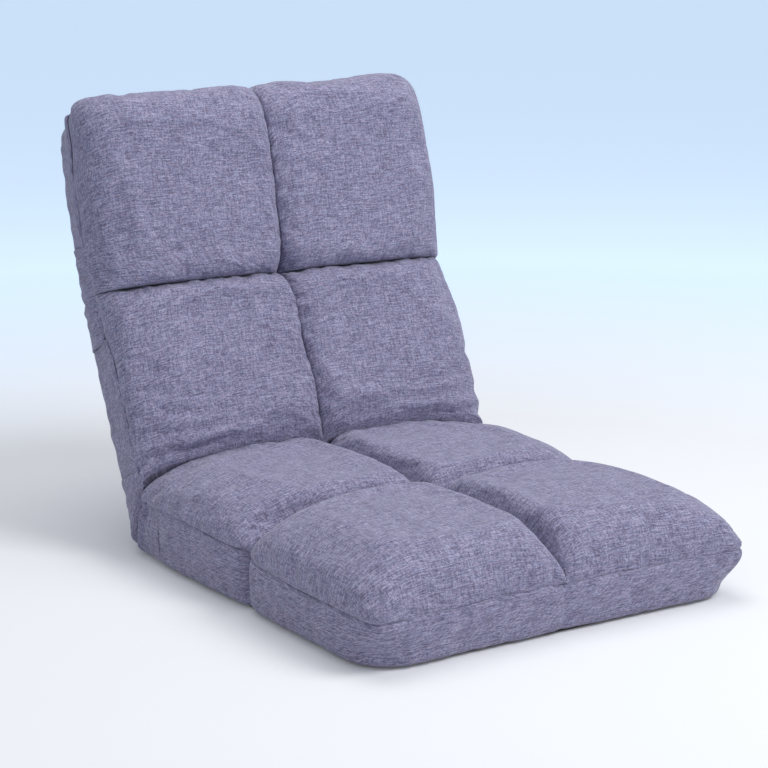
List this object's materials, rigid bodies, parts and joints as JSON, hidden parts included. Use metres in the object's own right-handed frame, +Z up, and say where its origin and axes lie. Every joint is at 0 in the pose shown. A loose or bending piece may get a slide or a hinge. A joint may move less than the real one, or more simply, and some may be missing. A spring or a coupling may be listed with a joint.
{
  "type": "folding floor chair",
  "caption": "Legless padded floor chair with a long flat seat, a reclining back and a folding head section on click-stop hinges.",
  "frame": {"origin": "on the floor, under the middle of the seat: midway between the side seams and midway between the front seam and the waist hinge", "axes": "+Z up, -Y the way the sitter faces, towards the front seam, +X to the sitter's left, along the hinge axes"},
  "size_m": [0.528, 0.7744, 0.5559],
  "materials": {
    "cover_cloth": "plain woven slub cloth, quilted",
    "lining": "non-woven underside cloth",
    "foam": "open-cell foam",
    "webbing": "elastic woven strap",
    "frame_paint": "powder coat",
    "hinge_steel": "zinc plated",
    "zip_tape": "woven tape with a nylon coil",
    "zip_metal": "enamelled"
  },
  "bodies": {
    "seat": {"seat_frame_tube": "frame_paint", "seat_cross_tubes": "frame_paint", "seat_webbing": "webbing", "seat_bottom_panel": "lining", "seat_side_band": "cover_cloth", "seat_bottom_foam": "foam", "seat_top_foam": "foam", "seat_rear_left_cushion": "cover_cloth", "seat_rear_right_cushion": "cover_cloth", "seat_front_left_cushion": "cover_cloth", "seat_front_right_cushion": "cover_cloth", "waist_left_outer_cheek": "hinge_steel", "waist_left_inner_cheek": "hinge_steel", "waist_right_outer_cheek": "hinge_steel", "waist_right_inner_cheek": "hinge_steel", "waist_pawl_springs": "hinge_steel", "waist_pivot_rivets": "hinge_steel", "waist_pawl_pins": "hinge_steel", "waist_socket_rivets": "hinge_steel", "waist_wrap": "cover_cloth"},
    "back": {"back_left_tube": "frame_paint", "back_right_tube": "frame_paint", "back_cross_tube": "frame_paint", "back_webbing": "webbing", "back_side_bands": "cover_cloth", "back_front_foam": "foam", "back_rear_panel": "cover_cloth", "back_rear_foam": "foam", "back_left_cushion": "cover_cloth", "back_right_cushion": "cover_cloth", "waist_left_ratchet_plate": "hinge_steel", "waist_right_ratchet_plate": "hinge_steel", "waist_tang_rivets": "hinge_steel", "head_left_outer_cheek": "hinge_steel", "head_left_inner_cheek": "hinge_steel", "head_right_outer_cheek": "hinge_steel", "head_right_inner_cheek": "hinge_steel", "head_pawl_springs": "hinge_steel", "head_pivot_rivets": "hinge_steel", "head_pawl_pins": "hinge_steel", "head_socket_rivets": "hinge_steel", "head_wrap": "cover_cloth", "zip_tape": "zip_tape"},
    "head": {"head_frame_tube": "frame_paint", "head_webbing": "webbing", "head_rear_panel": "cover_cloth", "head_side_band": "cover_cloth", "head_rear_foam": "foam", "head_front_foam": "foam", "head_left_cushion": "cover_cloth", "head_right_cushion": "cover_cloth", "head_left_ratchet_plate": "hinge_steel", "head_right_ratchet_plate": "hinge_steel", "head_tang_rivets": "hinge_steel"},
    "waist_pawls": {"waist_left_pawl": "hinge_steel", "waist_right_pawl": "hinge_steel"},
    "head_pawls": {"head_left_pawl": "hinge_steel", "head_right_pawl": "hinge_steel"},
    "zip_slider": {"zip_slider": "zip_metal"}
  },
  "joints": [
    {"name": "waist_fold", "type": "hinge", "parent": "seat", "child": "back", "pos_m": [0, 0.2725, 0.034], "axis": [1, 0, 0], "range_deg": [-65, 80], "deforming": ["seat_rear_left_cushion", "seat_rear_right_cushion", "back_left_cushion", "back_right_cushion", "waist_wrap"]},
    {"name": "head_fold", "type": "hinge", "parent": "back", "child": "head", "pos_m": [0, 0.39929, 0.30589], "axis": [-1, 0, 0], "range_deg": [-80, 10], "deforming": ["head_left_cushion", "head_right_cushion", "head_wrap"]},
    {"name": "waist_pawls", "type": "hinge", "parent": "seat", "child": "waist_pawls", "pos_m": [0, 0.2425, 0.027], "axis": [-1, 0, 0], "range_deg": [-10, 0]},
    {"name": "head_pawls", "type": "hinge", "parent": "back", "child": "head_pawls", "pos_m": [0, 0.39295, 0.27575], "axis": [1, 0, 0], "range_deg": [0, 10]},
    {"name": "zip_slide", "type": "slide", "parent": "back", "child": "zip_slider", "axis": [-1, 0, 0], "range_m": [0, 0.36]}
  ]
}
